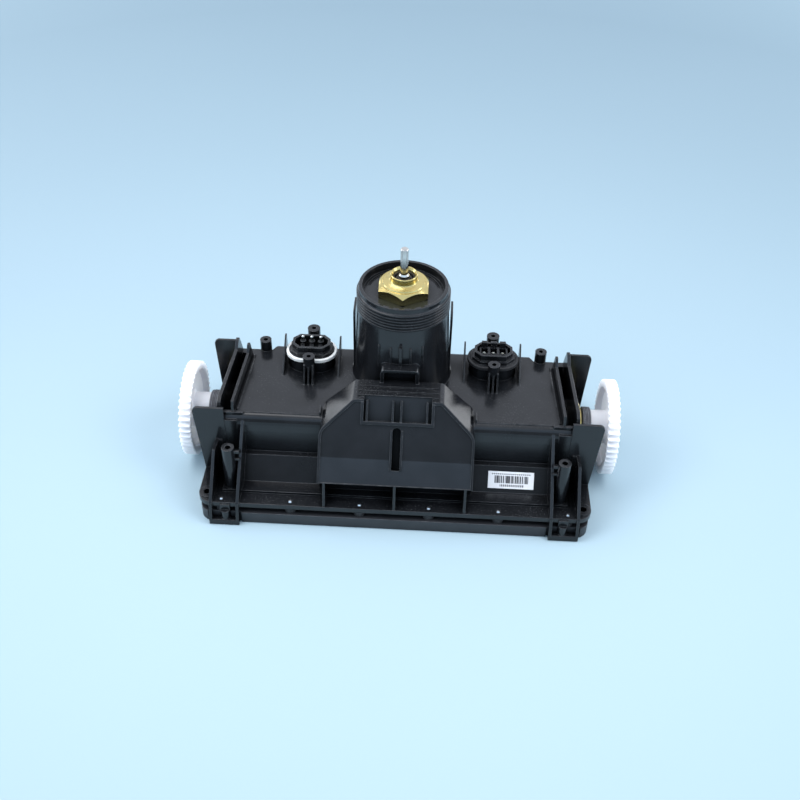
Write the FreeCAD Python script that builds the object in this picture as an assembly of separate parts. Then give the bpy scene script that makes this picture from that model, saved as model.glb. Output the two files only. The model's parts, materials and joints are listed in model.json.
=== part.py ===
"""Sealed motor block of a robotic pool cleaner.

One black plastic housing holds an upright pump motor, whose shaft leaves the top of a
round threaded turret, and two drive gearmotors, whose shafts leave the two ends and turn
white toothed wheels. A gasketed cover closes the bottom.

Millimetres. +X is right, +Y is back, +Z is up. The origin is on the pump shaft's axis, in
the plane that the block rests on. Everything on the right side is mirrored to the left.
"""
import FreeCAD, Part
import math
import os

os.makedirs("parts", exist_ok=True)
Vector = FreeCAD.Vector

# Housing body: one cross-section in Y and Z, run along X
BODY_HALF = 128.0
TOP_Z = 69.0
TOP_FRONT_Y = -61.0
TOP_BACK_Y = 20.0
SHOULDER_DEEP = 6.0
SHOULDER_HIGH = 12.0
CAVITY_HALF = 116.4
WING_START = 103.0
WING_BACK_Y = 13.0
WALL = 2.6
TREAD_Z = 37.0
LEDGE_Z = 20.0
LEDGE_FRONT_Y = -92.5
SLOPE_FOOT_Y = -82.0
SLOPE_TOP_Y = -71.0

# Flange, gasket and lower cover
FLANGE_HALF = 145.2
FLANGE_FRONT_Y = -104.0
FLANGE_BACK_Y = 54.0
FLANGE_Z = (14.0, 18.0)
FLANGE_CORNER = 11.0
COVER_Z = (0.0, 9.7)
COVER_HALF = 143.8
COVER_FRONT_Y = -105.5
COVER_BACK_Y = 55.5
COVER_FLOOR = 2.6
COVER_RIM = 12.0
GASKET_Z = (9.7, 14.0)
CORNER_HOLE = (139.0, 69.0)
CORNER_HOLE_R = 2.6
MID_Y = -25.0
FOOT_FRONT_Y = -109.0
FOOT_BACK_Y = -104.6
FOOT_X = (114.4, 135.6)
FOOT_HIGH = 4.6
LUG_X = 124.4
LUG_R = 3.6
LUG_TOP_Z = 12.0
TIE_Z = ((51.6, 54.0), (45.0, 46.6))

# Cover screws
SCREW_X = (25.5, 76.6, 127.7)
SCREW_FRONT_Y = -99.7
SCREW_SIDE = (139.5, 35.0)
SCREW_R = 1.5
SCREW_HEAD_R = 2.8

# Hexagonal front bulge
BULGE_HALF = 56.5
BULGE_TOP_HALF = 32.2
BULGE_TOP_Z = 88.3
PANEL_TOP = (-62.4, 88.3)
PANEL_FOOT = (-99.3, 38.0)
BULGE_WALL = 2.4
BULGE_CORNER = 9.0
BULGE_TOP_CORNER = 6.0
PANEL_CREASE = 43.3
PANEL_RIM = 1.7
POCKET = (24.6, 15.6)
SLOT_HALF = 3.0
SLOT_SPAN = (22.7, 50.9)
SLOT_DEPTH = 14.0

# Pump turret
TURRET_FOOT = (36.4, 66.0)
TURRET_NECK = (34.0, 128.6)
TURRET_BORE = 31.2
THREAD_ROOT_R = 33.4
THREAD_R = 34.6
THREAD_PITCH = 2.45
THREAD_TURNS = 6
THREAD_TOP_Z = 143.3
RIM_R = 33.0
RIM_INNER_R = 30.6
RIM_Z = 147.0
RIM_FLOOR_Z = 141.5

# Pump shaft and its brass seal carrier
PUMP_SHAFT_R = 3.0
PUMP_SHAFT_TOP = 177.2
PUMP_JOURNAL_R = 4.0
PUMP_MOTOR_Z = 28.0
SHOULDER_Z = 156.6
HEX_AF = 36.0
HEX_TOP_Z = 149.5
COLLAR_R = 10.2
FLARE_R = 15.7
FLARE_HIGH = 2.0
COLLAR_TOP_Z = 156.5
CARRIER_BORE = 8.0
CARRIER_NECK_R = 13.0

# Clearances between turning and still pieces
RUNNING_GAP = 0.04
LIP_GAP = 0.05

# Drive shafts, at both ends
AXIS_Y = -22.2
AXIS_Z = 38.0
DRIVE_SHAFT_R = 4.0
WHEEL_TEETH = 47
WHEEL_MODULE = 1.5
WHEEL_X = (156.3, 165.0)
WHEEL_HUB_R = 12.6
NUT_X = (WHEEL_X[1] - 4.5, WHEEL_X[1] - 1.6)
SLEEVE_X = (139.9, 146.8)
SLEEVE_R = 14.8
DRIVE_BOSS_R = 22.0
DRIVE_HEAD_X = (131.0, 138.0)
DRIVE_NECK_X = 119.0
DRIVE_LIP_X = (133.0, 138.6)
DRIVE_MOTOR_X = 31.4
GEARBOX_X = (85.4, 114.4)
GEARBOX_R = 27.5
GEARBOX_INNER_R = 26.2
GEARBOX_FLANGE_R = 28.3
GEARBOX_LID = 2.0

# Reduction gears: two equal stages with the output in line with the motor
GEAR_MODULE = 0.6
PINION_TEETH = 12
GEAR_TEETH = 36
CENTRE_DISTANCE = GEAR_MODULE * (PINION_TEETH + GEAR_TEETH) / 2
LAY_PIN_R = 1.5
LAY_Z = AXIS_Z - CENTRE_DISTANCE
PINION_X = (GEARBOX_X[0] + 4.0, GEARBOX_X[0] + 10.5)
STAGE_ONE_X = (GEARBOX_X[0] + 4.5, GEARBOX_X[0] + 9.8)
STAGE_TWO_X = (GEARBOX_X[0] + 12.0, GEARBOX_X[0] + 18.0)
DOWN = -90
UP = 90

# Connectors on the top
CONNECTOR_X = 70.0
CONNECTOR_Y = 3.0
STEM_R = 12.0
SEAT = (18.0, 13.6)
GASKET = (19.6, 14.2)
CONNECTOR_BASE = (17.4, 12.2)
SEAT_Z = 79.0
GASKET_TOP_Z = 80.8
CAVITY_FLOOR_Z = 82.8
CONNECTOR_TOP_Z = 89.0
PIN_OFFSETS = (-6.9, 0.0, 6.9)
PIN_Y = CONNECTOR_Y + 3.4

# Screw posts and bosses: X, Y and top
CHANNEL_POST = (122.0, -86.0, 57.0)
BACK_POST = (108.2, 17.6, 77.8)
FRONT_BOSS = (70.0, -15.5, 88.8)
REAR_BOSS = (70.0, 20.5, 88.8)
BACK_POST_R = 4.5
FRONT_BOSS_R = 4.5
REAR_BOSS_R = 4.9
BOSS_HOLE_R = 1.75
POST_HOLE_R = 2.1
POST_HOLE_DEPTH = 12.0

# Control board, in the cover
BOARD_HALF = 72.0
BOARD_Y = (-60.0, 30.0)
BOARD_Z = (5.2, 6.8)
BOARD_SCREWS = [(x, y) for x in (-66.0, 66.0) for y in (-54.0, 24.0)]


# ---------------------------------------------------------------- basic shapes

def box(x_span, y_span, z_span):
    size = [span[1] - span[0] for span in (x_span, y_span, z_span)]
    return Part.makeBox(*size, Vector(x_span[0], y_span[0], z_span[0]))


def rod(radius, start, end):
    """A cylinder between two points."""
    start = Vector(*start)
    axis = Vector(*end).sub(start)
    return Part.makeCylinder(radius, axis.Length, start, axis)


def tube(outer, inner, start, end):
    return rod(outer, start, end).cut(rod(inner, start, end))


def rod_z(radius, x, y, low, high):
    return rod(radius, (x, y, low), (x, y, high))


def rod_x(radius, near, far, y=AXIS_Y, z=AXIS_Z):
    return rod(radius, (near, y, z), (far, y, z))


def face_of(points):
    corners = [Vector(*point) for point in points]
    return Part.Face(Part.makePolygon(corners + corners[:1]))


def along_x(outline, x_span):
    """A Y-Z outline run along X."""
    face = face_of([(x_span[0], y, z) for y, z in outline])
    return face.extrude(Vector(x_span[1] - x_span[0], 0, 0))


def along_y(outline, y_span):
    """An X-Z outline run along Y."""
    face = face_of([(x, y_span[0], z) for x, z in outline])
    return face.extrude(Vector(0, y_span[1] - y_span[0], 0))


def along_z(outline, z_span):
    """An X-Y outline run along Z."""
    face = face_of([(x, y, z_span[0]) for x, y in outline])
    return face.extrude(Vector(0, 0, z_span[1] - z_span[0]))


def turned(outline, x=0.0, y=0.0):
    """A radius-height outline turned about a vertical axis."""
    face = face_of([(radius, 0, z) for radius, z in outline])
    solid = face.revolve(Vector(0, 0, 0), Vector(0, 0, 1), 360)
    solid.translate(Vector(x, y, 0))
    return solid


def turned_x(outline, y=AXIS_Y, z=AXIS_Z):
    """An X-radius outline turned about a line along X."""
    face = face_of([(x, y, z + radius) for x, radius in outline])
    return face.revolve(Vector(0, y, z), Vector(1, 0, 0), 360)


def rounded_plate(half, y_span, radius, z_span):
    plate = box((-half, half), y_span, z_span)
    upright = [edge for edge in plate.Edges if abs(edge.tangentAt(0).z) > 0.9]
    return plate.makeFillet(radius, upright)


def soften(shape, radius, test):
    """Fillets the edges whose centre passes the test."""
    chosen = [edge for edge in shape.Edges if test(edge.CenterOfMass)]
    return shape.makeFillet(radius, chosen)


def fuse(shapes):
    shapes = list(shapes)
    return shapes[0].multiFuse(shapes[1:]).removeSplitter() if len(shapes) > 1 else shapes[0]


def group(shapes):
    """Separate solids that share one node."""
    return Part.makeCompound(list(shapes))


def mirrored(shape):
    return shape.mirror(Vector(0, 0, 0), Vector(1, 0, 0))


def both(shape):
    """The right-hand shape and its mirror image."""
    return [shape, mirrored(shape)]


def save(name, shape):
    shape.exportStep("parts/" + name + ".step")
    print(name, len(shape.Solids), round(shape.Volume), shape.isValid())


# ---------------------------------------------------------------- housing body

def shoulder(edge_y, outward):
    """A quarter ellipse from the riser up to the top face, as short chords."""
    chords = 7
    points = []
    for step in range(chords + 1):
        turn = math.radians(90.0 * step / chords)
        points.append((edge_y + outward * SHOULDER_DEEP * math.cos(turn),
                       TOP_Z - SHOULDER_HIGH * (1 - math.sin(turn))))
    return points


def body_outline(bottom):
    """The block's stepped cross-section, front to back, down to the given height."""
    front = [(LEDGE_FRONT_Y, bottom), (LEDGE_FRONT_Y, LEDGE_Z), (SLOPE_FOOT_Y, LEDGE_Z),
             (SLOPE_TOP_Y, TREAD_Z), (TOP_FRONT_Y - SHOULDER_DEEP, TREAD_Z + 0.6)]
    back = [(TOP_BACK_Y + SHOULDER_DEEP, TREAD_Z + 0.6), (29.0, TREAD_Z), (37.0, LEDGE_Z),
            (42.5, LEDGE_Z), (42.5, bottom)]
    return front + shoulder(TOP_FRONT_Y, -1) + shoulder(TOP_BACK_Y, 1)[::-1] + back


def wing_corner(inset):
    """The space behind each end of the block, where its back wall steps forward."""
    step = WING_BACK_Y + 3.0 - inset
    start = WING_START - inset
    plan = [(start - 3.0, 60.0), (start - 3.0, TOP_BACK_Y + 8), (start - 3.0, step + 5.0),
            (start, step), (BODY_HALF + 2, step), (BODY_HALF + 2, 60.0)]
    return along_z(plan, (TREAD_Z - inset, TOP_Z + 20))


def body_outer():
    block = along_x(body_outline(FLANGE_Z[0]), (-BODY_HALF, BODY_HALF))
    for corner in both(wing_corner(0.0)):
        block = block.cut(corner)
    return block


def body_cavity():
    outline = face_of([(-BODY_HALF, y, z) for y, z in body_outline(FLANGE_Z[0] - 6.0)])
    inner = outline.makeOffset2D(-WALL, 2)
    cavity = inner.extrude(Vector(2 * CAVITY_HALF, 0, 0))
    cavity.translate(Vector(BODY_HALF - CAVITY_HALF, 0, 0))
    for corner in both(wing_corner(WALL)):
        cavity = cavity.cut(corner)
    return cavity


def flange():
    plate = rounded_plate(FLANGE_HALF, (FLANGE_FRONT_Y, FLANGE_BACK_Y), FLANGE_CORNER, FLANGE_Z)
    rings = [rod_z(6.0, x, y, FLANGE_Z[0], FLANGE_Z[1] + 0.9) for x, y in corner_holes()]
    return fuse([plate] + rings)


def corner_holes():
    across, along = CORNER_HOLE
    return [(side * across, MID_Y + end * along) for side in (-1, 1) for end in (-1, 1)]


def screw_places():
    back_y = 2 * MID_Y - SCREW_FRONT_Y
    rows = [(side * x, y) for x in SCREW_X for side in (-1, 1) for y in (SCREW_FRONT_Y, back_y)]
    across, along = SCREW_SIDE
    ends = [(side * across, MID_Y + end * along) for side in (-1, 1) for end in (-1, 1)]
    return rows + ends


def flared_wall(outline, back_x, front_x, thickness):
    """A Y-Z outline as an upright wall that runs outward from its back to its front."""
    back = max(y for y, z in outline)
    front = min(y for y, z in outline)
    wall = along_x(outline, (back_x - 1, front_x + thickness + 1))
    plan = [(back_x, back), (back_x + thickness, back), (front_x + thickness, front),
            (front_x, front)]
    return wall.common(along_z(plan, (-1.0, 100.0)))


def top_face_trim():
    """Fine raised lines on the top face: the front lip and a low line inside each rib."""
    lip = box((57.0, 114.0), (TOP_FRONT_Y + 0.4, TOP_FRONT_Y + 1.6), (TOP_Z - 0.4, TOP_Z + 0.7))
    line_side = [(8.0, TOP_Z - 0.4), (8.0, TOP_Z + 1.1), (-58.0, TOP_Z + 1.1), (-58.0, TOP_Z - 0.4)]
    line = flared_wall(line_side, 115.0, 118.2, 1.1)
    tab = box((56.6, 57.8), (-60.5, -52.0), (TOP_Z - 0.4, TOP_Z + 3.2))
    return both(lip) + both(line) + both(tab)


# ---------------------------------------------------------------- front bulge

def panel_point(x, down, out):
    """A point x across the sloping panel, 'down' from its top edge, 'out' from its face."""
    run = Vector(0, PANEL_FOOT[0] - PANEL_TOP[0], PANEL_FOOT[1] - PANEL_TOP[1]).normalize()
    normal = Vector(0, run.z, -run.y)
    start = Vector(x, PANEL_TOP[0], PANEL_TOP[1])
    return start + run * down + normal * out


def panel_length():
    return math.hypot(PANEL_FOOT[0] - PANEL_TOP[0], PANEL_FOOT[1] - PANEL_TOP[1])


def panel_prism(outline, out_low, out_high):
    """An outline drawn on the sloping panel, from one height above it to another."""
    face = face_of([panel_point(x, down, out_low) for x, down in outline])
    return face.extrude(panel_point(0, 0, out_high) - panel_point(0, 0, out_low))


def panel_box(x_span, down_span, out_span):
    corners = [(x_span[0], down_span[0]), (x_span[1], down_span[0]),
               (x_span[1], down_span[1]), (x_span[0], down_span[1])]
    return panel_prism(corners, *out_span)


def bulge_side(inset):
    """The bulge seen from the end: sloping front, undercut foot."""
    outline = [(-40.0, BULGE_TOP_Z), PANEL_TOP, PANEL_FOOT, (-97.0, 35.6), (-86.0, 33.0),
               (-86.0, 10.0), (-50.0, 10.0), (-46.0, TOP_Z)]
    face = face_of([(0, y, z) for y, z in outline])
    return face.makeOffset2D(-inset, 2) if inset else face


def bulge_front(inset):
    """The bulge seen from the front: a box with slanting shoulders."""
    half = BULGE_HALF - inset
    shoulder = BULGE_TOP_HALF - 0.5 * inset
    top = BULGE_TOP_Z - inset
    low = TOP_Z - 0.6 * inset
    outline = [(-half, 5.0), (-half, low), (-shoulder, top), (shoulder, top), (half, low),
               (half, 5.0)]
    prism = along_y(outline, (-110.0, -30.0))
    prism = soften(prism, BULGE_CORNER - inset, lambda c: abs(abs(c.x) - half) < 0.1
                   and abs(c.z - low) < 0.1)
    return soften(prism, BULGE_TOP_CORNER - inset, lambda c: abs(abs(c.x) - shoulder) < 0.1
                  and abs(c.z - top) < 0.1)


def bulge_outer():
    side = bulge_side(0.0).extrude(Vector(2 * BULGE_HALF, 0, 0))
    side.translate(Vector(-BULGE_HALF, 0, 0))
    below_flange = box((-60, 60), (-120, 0), (0, FLANGE_Z[0]))
    return side.common(bulge_front(0.0)).cut(below_flange)


def bulge_cavity():
    side = bulge_side(BULGE_WALL).extrude(Vector(2 * BULGE_HALF, 0, 0))
    side.translate(Vector(-BULGE_HALF, 0, 0))
    hollow = side.common(bulge_front(BULGE_WALL))
    pocket_wall = panel_box((-29, 29), (-6, 22), (-9.0, 3.0))
    slot_wall = panel_box((-6.5, 6.5), (16, 54), (-SLOT_DEPTH - BULGE_WALL, 3.0))
    return hollow.cut(pocket_wall).cut(slot_wall)


def panel_recess():
    """The panel's face lies inside a narrow raised rim and is creased across."""
    foot = panel_length() - 0.5
    depth = [(PANEL_RIM, 1.0), (PANEL_RIM, -0.9), (PANEL_CREASE, -1.9), (foot, -0.7), (foot, 1.0)]
    face = face_of([panel_point(-BULGE_HALF, down, out) for down, out in depth])
    return face.extrude(Vector(2 * BULGE_HALF, 0, 0)).common(bulge_front(PANEL_RIM))


def panel_hollows():
    """The pocket at the panel's top and the slot below it."""
    half, length = POCKET
    pocket = panel_box((-half, half), (-3.0, length), (-5.5, 3.0))
    slot = panel_box((-SLOT_HALF, SLOT_HALF), SLOT_SPAN, (-SLOT_DEPTH, 3.0))
    slot_end = rod(SLOT_HALF, panel_point(0, SLOT_SPAN[0], -SLOT_DEPTH),
                   panel_point(0, SLOT_SPAN[0], 3.0))
    return [pocket, slot, slot_end]


def panel_ribs():
    """Borders around the pocket and the slot, and the pairs of ribs in the pocket."""
    half, length = POCKET
    border = [panel_box((side - 1.0, side + 1.0), (PANEL_RIM, length + 2.4), (-6.2, 0.4))
              for side in (-half - 1.0, half + 1.0)]
    border.append(panel_box((-half - 2.0, half + 2.0), (length, length + 2.4), (-3.0, 0.4)))
    for side in (-1, 1):
        rim = sorted((side * SLOT_HALF, side * (SLOT_HALF + 1.5)))
        border.append(panel_box(rim, (SLOT_SPAN[0] - 1.0, SLOT_SPAN[1]), (-3.0, -0.1)))
    places = (-22.2, -3.4, 2.6, 21.4)
    ribs = [panel_box((x - 0.7, x + 0.7), (0.4, length + 0.5), (-6.0, -0.1)) for x in places]
    return border + ribs


def bulge_grooves():
    """Lines across the bulge's flat top."""
    return [box((-29.0, 29.0), (y - 0.8, y + 0.8), (BULGE_TOP_Z - 0.8, BULGE_TOP_Z + 1))
            for y in (-58.5, -53.0, -47.5)]


def bulge_props():
    """Three upright ribs from the flange to the panel's foot."""
    outline = [(-84.0, 17.0), (-103.4, 17.0), (-103.4, LEDGE_Z + 0.5), (-98.6, 38.4),
               (-92.0, 40.0), (-84.0, 36.0)]
    return [along_x(outline, (x - 0.9, x + 0.9)) for x in (-51.5, 0.0, 51.5)]


# ---------------------------------------------------------------- turret

def turret_radius(z):
    """The turret's outer radius at a height: it narrows a little upwards."""
    (foot_r, foot_z), (neck_r, neck_z) = TURRET_FOOT, TURRET_NECK
    return foot_r + (neck_r - foot_r) * (z - foot_z) / (neck_z - foot_z)


def turret_outer():
    """The turret with its foot fillet, thread crests and rounded rim."""
    foot_r, foot_z = TURRET_FOOT
    outline = [(0, FLANGE_Z[0]), (32.5, FLANGE_Z[0]), (32.5, 52.0), (foot_r, 60.0),
               (foot_r, foot_z), (foot_r + 2.6, TOP_Z - 0.6), (foot_r + 1.2, TOP_Z + 0.6),
               (foot_r + 0.3, TOP_Z + 2.2), (turret_radius(TOP_Z + 4.5), TOP_Z + 4.5)]
    bottom = THREAD_TOP_Z - THREAD_PITCH * THREAD_TURNS
    outline += [TURRET_NECK, (THREAD_ROOT_R, bottom)]
    for turn in range(THREAD_TURNS):
        low = bottom + turn * THREAD_PITCH
        outline += [(THREAD_R, low + 0.7), (THREAD_R, low + 1.4), (THREAD_ROOT_R, low + 2.1)]
    outline += [(THREAD_ROOT_R, THREAD_TOP_Z - 0.1), (RIM_R, THREAD_TOP_Z + 0.3),
                (RIM_R, RIM_Z - 0.5), (RIM_R - 0.2, RIM_Z - 0.1), (RIM_R - 0.6, RIM_Z), (0, RIM_Z)]
    return turned(outline)


def turret_hollows():
    bore = rod_z(TURRET_BORE, 0, 0, 8.0, RIM_FLOOR_Z - 4.0)
    recess = turned([(0, RIM_FLOOR_Z), (RIM_INNER_R - 0.8, RIM_FLOOR_Z), (RIM_INNER_R, RIM_Z + 1),
                     (0, RIM_Z + 1)])
    neck = rod_z(CARRIER_NECK_R, 0, 0, 130.0, RIM_FLOOR_Z + 1)
    return [bore, recess, neck]


def rim_notches():
    """Small cuts in the rim's inner edge, at the front."""
    cuts = []
    for step in range(-2, 3):
        cut = box((-1.6, 1.6), (-RIM_INNER_R - 1.2, -27.0), (RIM_Z - 1.2, RIM_Z + 1))
        cut.rotate(Vector(0, 0, 0), Vector(0, 0, 1), 14.0 * step)
        cuts.append(cut)
    return cuts


def crescent_grooves():
    """Two curved grooves in the floor inside the rim, at the back left and back right."""
    ring = tube(27.2, 25.4, (0, 0, RIM_FLOOR_Z - 1.0), (0, 0, RIM_FLOOR_Z + 1))
    wedge = along_z([(0, 0), (40, 8), (40, 40), (16, 40)], (RIM_FLOOR_Z - 2, RIM_FLOOR_Z + 2))
    return both(ring.common(wedge))


def turret_front():
    """The box, rib and flutes on the turret's front face, kept out of its bore."""
    frame = box((-14.2, 14.2), (-42.6, -30.0), (84.0, 100.2))
    frame = soften(frame, 4.0, lambda c: c.z > 100.1 and abs(c.x) > 14.0)
    window = box((-11.6, 11.6), (-44.0, -38.0), (87.0, 97.8))
    rib = box((-1.1, 1.1), (-37.6, -30.0), (97.0, 116.5))
    shapes = [frame.cut(window), rib]
    for x in (-16.0, -7.2, 7.2, 16.0):
        face_y = -math.sqrt(turret_radius(105.0) ** 2 - x ** 2)
        shapes.append(box((x - 0.6, x + 0.6), (face_y - 0.8, face_y + 2.0), (95.0, 114.0)))
    bore = rod_z(TURRET_BORE, 0, 0, 50.0, RIM_FLOOR_Z - 4.0)
    return [shape.cut(bore) for shape in shapes]


def turret_rails():
    """A thin upright plate on each side, clear of the turret near its top."""
    rail = box((35.5, 37.1), (-3.0, 15.0), (60.0, 123.5))
    rail = soften(rail, 5.0, lambda c: c.z > 123.4 and c.y < -2.9)
    tie = box((32.0, 37.0), (2.0, 4.0), (60.0, 84.0))
    shapes = both(rail) + both(tie)
    inside = rod_z(TURRET_BORE, 0, 0, 50.0, 120.0)
    return [shape.cut(inside) for shape in shapes]


# ---------------------------------------------------------------- end walls and channels

def end_wall():
    """The tall outer wall at the block's end, with a raised ear at the back."""
    outline = [(-66.0, 16.0), (-66.0, 64.0), (-65.0, 72.0), (-61.5, 78.4), (-57.0, 80.8),
               (-3.0, 82.0), (2.5, 87.5), (5.5, 87.5), (WING_BACK_Y, 72.0), (WING_BACK_Y, 30.0)]
    return flared_wall(outline, 125.8, 130.0, 2.4)


def inner_rib():
    outline = [(-62.5, TOP_Z - 1), (-60.0, 78.6), (-5.0, 80.6), (-1.0, 86.0), (1.6, 86.0),
               (9.0, TOP_Z - 1)]
    return flared_wall(outline, 117.0, 120.6, 1.9)


def channel_front():
    """The bar across each channel's front, and the wall below it."""
    bar = box((113.6, 131.0), (-63.2, -60.6), (TOP_Z - 4.0, TOP_Z + 1.8))
    wall = box((118.0, 131.0), (TOP_FRONT_Y - SHOULDER_DEEP, -62.6), (FLANGE_Z[0], TOP_Z - 3.0))
    return [bar, wall]


def deep_channel():
    """The deep space between the inner rib and the end wall, open at the top."""
    plan = [(118.9, 10.5), (125.9, 10.5), (129.7, -60.6), (122.5, -60.6)]
    return along_z(plan, (20.0, 100.0)).cut(drive_boss())


def front_fin():
    outline = [(BODY_HALF - 1, 14.0), (145.0, 14.0), (150.4, 77.0), (BODY_HALF - 1, 77.0)]
    fin = along_y(outline, (-67.2, -65.2))
    return soften(fin, 4.0, lambda c: c.z > 76.9 and c.x > 149)


def back_fin():
    outline = [(BODY_HALF - 1, 16.0), (142.0, 16.0), (145.8, 86.0), (BODY_HALF - 1, 86.0)]
    fin = along_y(outline, (3.6, 5.4))
    return soften(fin, 4.0, lambda c: c.z > 85.9 and c.x > 145)


def side_web(top_y, top_z, inner_x):
    """A web whose front edge slopes down to the foot, set slightly askew."""
    outline = [(-58.0, top_z), (top_y, top_z), (-105.2, 18.4), (FOOT_FRONT_Y, FOOT_HIGH),
               (FOOT_FRONT_Y, 0.0), (FOOT_BACK_Y, 0.0), (FOOT_BACK_Y, FLANGE_Z[0]),
               (-58.0, FLANGE_Z[0])]
    return flared_wall(outline, inner_x, inner_x + 1.6, 2.2)


def end_channel():
    """The open channel in front of each end: two webs, a foot with a round lug, and ties."""
    inner = side_web(-62.2, TOP_Z, 112.6)
    outer = side_web(-80.0, 48.0, 132.4).cut(box((130, 140), (-67.0, -50.0), (10, 60)))
    tie = box((130.0, 135.0), (-68.5, -65.2), (14.0, 47.5))
    foot = box(FOOT_X, (FOOT_FRONT_Y, FOOT_BACK_Y), (0.0, FOOT_HIGH))
    foot = soften(foot, 0.8, lambda c: c.z > FOOT_HIGH - 0.1 and c.y < FOOT_FRONT_Y + 0.1)
    lug = rod_z(LUG_R, LUG_X, FOOT_BACK_Y, FOOT_HIGH - 1.0, LUG_TOP_Z)
    lug = lug.common(box((LUG_X - LUG_R, LUG_X + LUG_R), (FOOT_FRONT_Y, FOOT_BACK_Y),
                         (FOOT_HIGH - 1.0, LUG_TOP_Z)))
    back = box((LUG_X - LUG_R, LUG_X + LUG_R), (FOOT_BACK_Y - 0.8, FLANGE_FRONT_Y),
               (LUG_TOP_Z - 2.0, FLANGE_Z[1] - 1.0))
    ties = [box((114.0, 118.4), (-87.0, -85.6), z_span) for z_span in TIE_Z]
    return [inner, outer, tie, foot, lug, back] + ties


def posts():
    """Screw posts on the right half, mirrored to the left by the caller."""
    x, y, top = CHANNEL_POST
    channel_post = Part.makeCone(5.2, 4.6, top - 17.0, Vector(x, y, 17.0))
    x, y, top = BACK_POST
    back_post = rod_z(BACK_POST_R, x, y, TREAD_Z - 8, top)
    x, y, top = FRONT_BOSS
    front_boss = rod_z(FRONT_BOSS_R, x, y, TOP_Z - 1, top)
    feet = [along_x([(y - 10.5, TOP_Z - 1), (y - 4.0, top - 6.0), (y, top - 6.0), (y, TOP_Z - 1)],
                    (x + dx - 0.6, x + dx + 0.6)) for dx in (-3.2, 0.0, 3.2)]
    x, y, top = REAR_BOSS
    rear_boss = rod_z(REAR_BOSS_R, x, y, TREAD_Z + 6, top)
    return [channel_post, back_post, front_boss, rear_boss] + feet


def post_holes():
    holes = []
    for place, radius in ((CHANNEL_POST, POST_HOLE_R), (BACK_POST, BOSS_HOLE_R),
                          (FRONT_BOSS, BOSS_HOLE_R), (REAR_BOSS, BOSS_HOLE_R)):
        x, y, top = place
        holes.append(rod_z(radius, x, y, top - POST_HOLE_DEPTH, top + 1))
    return holes


def oval(half_sizes, z_span):
    """A bar with round ends along X, centred on a connector."""
    half_x, half_y = half_sizes
    reach = half_x - half_y
    ends = [rod_z(half_y, CONNECTOR_X + side * reach, CONNECTOR_Y, *z_span) for side in (-1, 1)]
    middle = box((CONNECTOR_X - reach, CONNECTOR_X + reach),
                 (CONNECTOR_Y - half_y, CONNECTOR_Y + half_y), z_span)
    return fuse(ends + [middle])


def connector_seat():
    """The oval seat under a connector and the thin fins beside it."""
    seat = oval(SEAT, (TOP_Z - 2, SEAT_Z))
    fin = [(-17.0, TOP_Z - 1), (9.5, 88.6), (12.0, 88.6), (13.5, TOP_Z - 1)]
    outer_fin = along_x(fin, (90.2, 91.4))
    inner_fin = along_x(fin, (47.6, 48.8))
    return [seat, outer_fin, inner_fin]


def connector_opening():
    return rod_z(STEM_R, CONNECTOR_X, CONNECTOR_Y, TOP_Z - 8, SEAT_Z + 1)


def drive_boss():
    """The round boss that carries the drive opening across the deep channel."""
    return rod_x(DRIVE_BOSS_R, GEARBOX_X[1] + 0.4, DRIVE_HEAD_X[0])


def drive_opening():
    """The seal carrier's hole and the flat round seat at its outer end."""
    hole = rod_x(CARRIER_NECK_R, GEARBOX_X[1] - 1.0, DRIVE_HEAD_X[0] + 2.0)
    return fuse([hole, rod_x(DRIVE_BOSS_R, DRIVE_HEAD_X[0], DRIVE_HEAD_X[0] + 5.0)])


def upper_housing():
    right = [end_wall(), inner_rib(), front_fin(), back_fin(), drive_boss()]
    right += channel_front() + end_channel() + posts() + connector_seat()
    solids = [body_outer(), flange(), bulge_outer(), turret_outer()]
    solids += [half for shape in right for half in both(shape)]
    solids += top_face_trim() + bulge_props() + turret_rails()
    shell = fuse(solids)
    hollows = [body_cavity(), bulge_cavity()] + turret_hollows()
    boss_inside = fuse(both(drive_boss()))
    hollows[0] = hollows[0].cut(boss_inside)
    hollows += both(connector_opening()) + both(drive_opening())
    hollows += [half for hole in post_holes() for half in both(hole)]
    hollows += [rod_z(SCREW_R + 0.05, x, y, 10, 25) for x, y in screw_places()]
    hollows += [rod_z(CORNER_HOLE_R, x, y, 10, 25) for x, y in corner_holes()]
    hollows += [panel_recess()] + panel_hollows() + bulge_grooves() + rim_notches()
    hollows += crescent_grooves() + both(deep_channel())
    shell = shell.cut(fuse(hollows[:5])).cut(hollows[5:])
    return fuse([shell] + panel_ribs() + turret_front())


# ---------------------------------------------------------------- cover, gasket, screws

def lower_cover():
    cover = rounded_plate(COVER_HALF, (COVER_FRONT_Y, COVER_BACK_Y), FLANGE_CORNER - 1, COVER_Z)
    rim = COVER_RIM
    tray = rounded_plate(COVER_HALF - rim, (COVER_FRONT_Y + rim, COVER_BACK_Y - rim), 6.0,
                         (COVER_FLOOR, COVER_Z[1] + 1))
    cover = cover.cut(tray)
    notch = box((112.6, 137.4), (COVER_FRONT_Y - 1, -104.2), (-1, COVER_Z[1] + 1))
    cuts = both(notch)
    for x, y in screw_places():
        cuts.append(rod_z(SCREW_R + 0.3, x, y, -1, 12))
        cuts.append(rod_z(SCREW_HEAD_R + 0.3, x, y, -1, 3.4))
    cuts += [rod_z(CORNER_HOLE_R, x, y, -1, 12) for x, y in corner_holes()]
    cuts += cover_pans()
    cover = cover.cut(cuts)
    return fuse([cover] + board_posts())


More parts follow.
